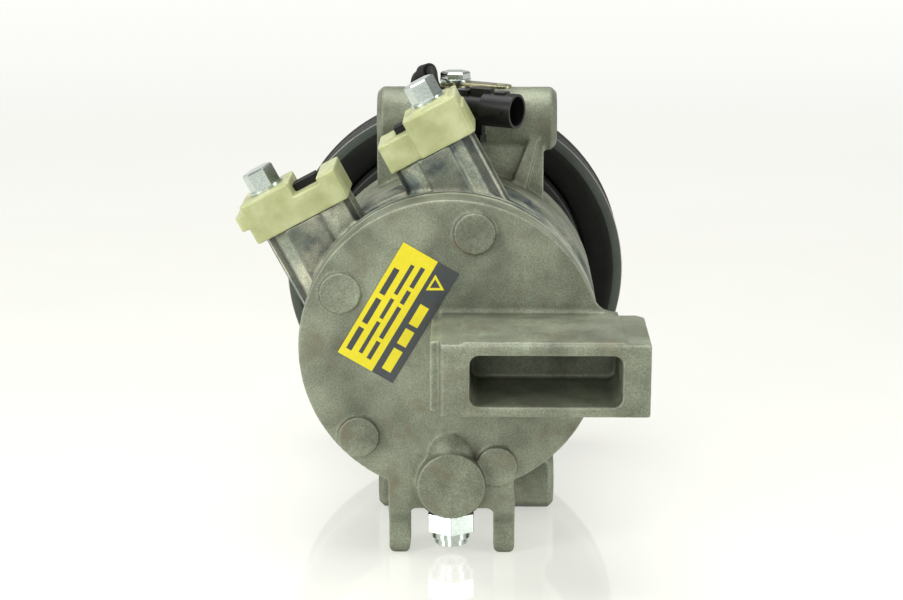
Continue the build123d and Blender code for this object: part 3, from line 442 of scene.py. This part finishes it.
def cast_piece(node, voxel_mm, passes, crisp=(), uneven_mm=0.0):
    """A casting or moulding with rounded edges and filleted corners, in place of its sharp CAD node. crisp lists the
    places along the shaft whose machined faces keep their edges; uneven_mm is how deep the skin sinks in places."""
    piece = welded_copy(node, node + "_casting")
    remesh = piece.modifiers.new("skin", "REMESH")
    remesh.mode = "VOXEL"
    remesh.voxel_size = voxel_mm * MM
    settle(piece)
    group = piece.vertex_groups.new(name="soft")
    soft = [v.index for v in piece.data.vertices if all(abs(v.co.y / MM - y) > voxel_mm for y in crisp)]
    group.add(soft, 1.0, "REPLACE")
    smooth = piece.modifiers.new("fillets", "SMOOTH")
    smooth.factor = 0.5
    smooth.iterations = passes
    smooth.vertex_group = "soft"
    if uneven_mm:
        clouds = bpy.data.textures.new(node + "_uneven", "CLOUDS")
        clouds.noise_scale = 3.5 * MM
        uneven = piece.modifiers.new("uneven", "DISPLACE")
        uneven.texture = clouds
        uneven.texture_coords = "LOCAL"
        uneven.mid_level = 1.0
        uneven.strength = uneven_mm * MM
        uneven.vertex_group = "soft"
    settle(piece)
    shade_smooth(piece)
    finish_piece(piece, node, [surface_of(node)])


def eased(node, radius_mm, extra_materials=(), choose=None):
    """A hard piece with its edges broken, in place of its CAD node. choose(centre in mm, whether it is a broken edge)
    gives a face's material: 0 the node's own, 1 onwards the extra ones."""
    piece = welded_copy(node, node + "_eased")
    surface = [surface_of(node), *extra_materials]
    for material in surface:
        piece.data.materials.append(material)
    bevel = piece.modifiers.new("broken_edges", "BEVEL")
    bevel.width = radius_mm * MM
    bevel.segments = 2
    bevel.limit_method = "ANGLE"
    bevel.angle_limit = SMOOTHED_ANGLE
    bevel.harden_normals = True
    if choose:
        bevel.material = 1
    settle(piece)
    if choose:
        for face in piece.data.polygons:
            face.material_index = choose(face.center / MM, face.material_index == 1)
    shade_smooth(piece)
    finish_piece(piece, node, surface)


# ---------------------------------------------------------------- castings, caps and spring

HOUSING_VOXEL = 0.6
CAP_VOXEL = 0.4
# Smoothing passes over each casting: the more, the rounder its edges.
CASTING_PASSES = {"rear_cover": 5, "center_housing": 4, "front_housing": 5}
CAP_PASSES = {"suction_cap": 3, "discharge_cap": 3}
CRISP = (REAR_JOINT_Y, FRONT_JOINT_Y, REAR_JOINT_Y - GASKET_T, FRONT_JOINT_Y - GASKET_T)


def build_castings():
    for node, passes in CASTING_PASSES.items():
        cast_piece(node, HOUSING_VOXEL, passes, CRISP, uneven_mm=0.15)


def build_caps():
    for node, passes in CAP_PASSES.items():
        cast_piece(node, CAP_VOXEL, passes)


def build_spring():
    """The relief spring, its facets joined and shaded smooth, riding on its node's body."""
    spring = welded_copy("relief_spring", "relief_spring_wire")
    shade_smooth(spring)
    finish_piece(spring, "relief_spring", [surface_of("relief_spring")])
    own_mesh(spring)


# ---------------------------------------------------------------- label

# The label's middle (x, z), its turn on the rear cover and its sizes, in millimetres.
LABEL_CENTRE = (-18.9, 13.6)
LABEL_TURN = math.radians(30.5)
LABEL_WIDTH = 23.1
LABEL_LENGTH = 47.7
LABEL_FACE_Y = -134.15
LABEL_FILM_T = 0.14
LABEL_INK_T = 0.02
YELLOW_SHARE = 0.62
YELLOW, CHARCOAL = 0, 1
# Rows of plain bars in place of printed words: (across, bar width, ink, bars as (start, end) along).
LABEL_ROWS = (
    (2.9, 2.2, CHARCOAL, ((3, 12.5), (14.5, 25), (27, 38))),
    (7.2, 1.5, CHARCOAL, ((4, 17.5), (19, 27.5), (29.5, 42))),
    (10.9, 1.7, CHARCOAL, ((3.5, 11), (12.5, 26), (27.5, 33), (34.5, 43))),
    (18.6, 3.6, YELLOW, ((3, 12), (14, 20.5), (22.5, 31))),
)
# A plain triangle at the upper end of the dark strip, and the hole inside it.
TRIANGLE = ((15.9, 36.4), (21.6, 39.8), (15.9, 43.2))
TRIANGLE_HOLE = ((16.7, 37.9), (19.9, 39.8), (16.7, 41.7))


def label_point(across, along, depth):
    """A point on the label, in metres: across from its yellow edge, along from its lower end, out of its face."""
    u = across - LABEL_WIDTH / 2
    v = along - LABEL_LENGTH / 2
    c, s = math.cos(LABEL_TURN), math.sin(LABEL_TURN)
    x, z = LABEL_CENTRE
    return Vector((x + u * c + v * s, LABEL_FACE_Y - depth, z - u * s + v * c)) * MM


def label_block(form, corners, bottom, top, ink):
    """A thin block on the label with this outline, given as (across, along) corners."""
    low = [form.verts.new(label_point(a, b, bottom)) for a, b in corners]
    high = [form.verts.new(label_point(a, b, top)) for a, b in corners]
    count = len(corners)
    faces = [form.faces.new(high), form.faces.new(low[::-1])]
    for i in range(count):
        j = (i + 1) % count
        faces.append(form.faces.new((low[i], low[j], high[j], high[i])))
    for face in faces:
        face.material_index = ink


def box_corners(from_across, to_across, from_along, to_along):
    return ((from_across, from_along), (to_across, from_along), (to_across, to_along), (from_across, to_along))


def build_label():
    form = bmesh.new()
    edge = LABEL_WIDTH * YELLOW_SHARE
    label_block(form, box_corners(0, edge, 0, LABEL_LENGTH), -LABEL_FILM_T, 0, YELLOW)
    label_block(form, box_corners(edge, LABEL_WIDTH, 0, LABEL_LENGTH), -LABEL_FILM_T, 0, CHARCOAL)
    for across, width, ink, bars in LABEL_ROWS:
        for start, end in bars:
            bar = box_corners(across - width / 2, across + width / 2, start, end)
            label_block(form, bar, -LABEL_INK_T, LABEL_INK_T, ink)
    label_block(form, TRIANGLE, -LABEL_INK_T, LABEL_INK_T, YELLOW)
    label_block(form, TRIANGLE_HOLE, 0.0, 1.5 * LABEL_INK_T, CHARCOAL)
    bmesh.ops.recalc_face_normals(form, faces=form.faces)
    mesh = bpy.data.meshes.new("label_film")
    form.to_mesh(mesh)
    form.free()
    finish_piece(new_piece("label_film", mesh), "label", [MATERIALS["label_film"], LABEL_DARK])


# ---------------------------------------------------------------- pieces with broken edges

# How far each hard piece's edges are broken, in millimetres.
BROKEN_EDGES = {
    "through_bolts": 0.2, "suction_cap_bolt": 0.3, "discharge_cap_bolt": 0.3, "relief_valve_body": 0.25,
    "relief_valve_plug": 0.2, "connector_bracket": 0.3, "clamp_screw": 0.25, "connector_shell": 0.25,
    "coil_terminal_block": 0.4, "field_coil_case": 0.4, "pulley": 0.35, "armature_plate": 0.3,
    "clutch_hub": 0.3, "hub_bolt": 0.25, "suction_cap_seal": 0.25, "discharge_cap_seal": 0.25,
    "lead_grommet": 0.3, "leaf_springs": 0.1,
}
# Bands in mm: the outer corners' rubbed steel and painted highlight, and the rear face's painted sheen.
PULLEY_WORN_HIGHLIT_EDGE = 0.6
PULLEY_REAR_FACE = 0.5


def pulley_surface(centre, is_edge):
    """Rubbed bare steel that is also a painted highlight (1) on the outermost corners, a lighter grey as painted
    sheen (2) on the rear face of the rim.
    """
    radius = math.hypot(centre.x, centre.z)
    at_rim = radius > PULLEY_R - PULLEY_WORN_HIGHLIT_EDGE
    at_side = abs(centre.y) > PULLEY_HALF_W - PULLEY_WORN_HIGHLIT_EDGE
    if is_edge and at_rim and at_side:
        return 1
    return 2 if radius > PULLEY_RIM_R and centre.y < PULLEY_REAR_FACE - PULLEY_HALF_W else 0


def break_edges():
    for node, radius in BROKEN_EDGES.items():
        if node == "pulley":
            eased(node, radius, (RUBBED_STEEL_AND_HIGHLIGHT, PAINTED_SHEEN_COAT), pulley_surface)
        else:
            eased(node, radius)


# ---------------------------------------------------------------- everything

set_camera()
lay_floor()
light_scene()
build_castings()
build_caps()
build_spring()
build_label()
break_edges()
for node, thing in NODES.items():
    for place in thing.material_slots:
        place.material = surface_of(node)
    if not thing.material_slots:
        thing.data.materials.append(surface_of(node))
